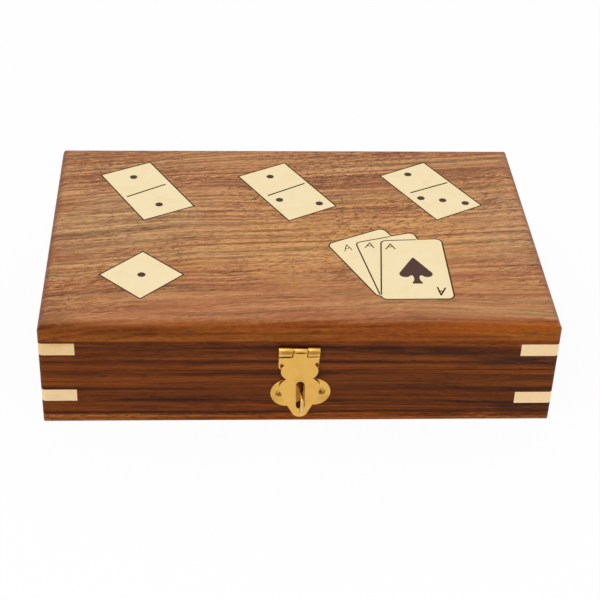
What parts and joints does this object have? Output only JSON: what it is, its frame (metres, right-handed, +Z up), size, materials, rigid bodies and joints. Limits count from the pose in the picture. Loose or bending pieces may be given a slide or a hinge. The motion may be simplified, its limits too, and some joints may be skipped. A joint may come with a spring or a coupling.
{
  "type": "domino storage box",
  "caption": "Flat wooden storage box for dominoes, cards and dice, with a hinged lid inlaid with brass, a divided base, and a pierced brass hasp that closes over a wire staple.",
  "frame": {"origin": "centre of the bottom board's underside, on the surface the box rests on", "axes": "+X to the right along the longest side, +Y from the hasp to the back hinges, +Z up through the lid"},
  "size_m": [0.19, 0.1399, 0.045],
  "materials": {
    "lid_wood": "oiled light brown wood, close grain",
    "rail_wood": "oiled dark red-brown wood, striped grain",
    "bottom_wood": "oiled red-brown wood",
    "divider_wood": "plain sanded wood",
    "brass": "lightly worn sheet and wire",
    "pale_brass": "polished sheet, flush with the wood",
    "filler": "dark lac, flush with the brass"
  },
  "bodies": {
    "base": {"bottom_board": "bottom_wood", "base_front_rail": "rail_wood", "base_back_rail": "rail_wood", "base_left_rail": "rail_wood", "base_right_rail": "rail_wood", "card_divider": "divider_wood", "domino_divider": "divider_wood", "dice_divider": "divider_wood", "base_corner_strips": "pale_brass", "staple_plate": "brass", "staple": "brass", "staple_nails": "brass", "left_hinge_base_leaf": "brass", "right_hinge_base_leaf": "brass", "hinge_base_screws": "brass", "hinge_pins": "brass"},
    "lid": {"lid_top_board": "lid_wood", "lid_front_rail": "rail_wood", "lid_back_rail": "rail_wood", "lid_left_rail": "rail_wood", "lid_right_rail": "rail_wood", "lid_corner_strips": "pale_brass", "domino_inlay_left": "pale_brass", "domino_inlay_middle": "pale_brass", "domino_inlay_right": "pale_brass", "die_inlay": "pale_brass", "card_fan_inlay": "pale_brass", "spade_inlay": "filler", "inlay_pips": "filler", "domino_lines": "filler", "card_lines": "filler", "hasp_leaf": "brass", "hasp_leaf_nails": "brass", "hasp_pin": "brass", "left_hinge_lid_leaf": "brass", "right_hinge_lid_leaf": "brass", "hinge_lid_screws": "brass"},
    "hasp": {"hasp_flap": "brass"}
  },
  "joints": [
    {"name": "lid_hinge", "type": "hinge", "parent": "base", "child": "lid", "pos_m": [0, 0.0659, 0.02415], "axis": [-1, 0, 0], "range_deg": [0, 180]},
    {"name": "hasp_hinge", "type": "hinge", "parent": "lid", "child": "hasp", "pos_m": [-0.0005, -0.0654, 0.03435], "axis": [-1, 0, 0], "range_deg": [0, 180]}
  ]
}
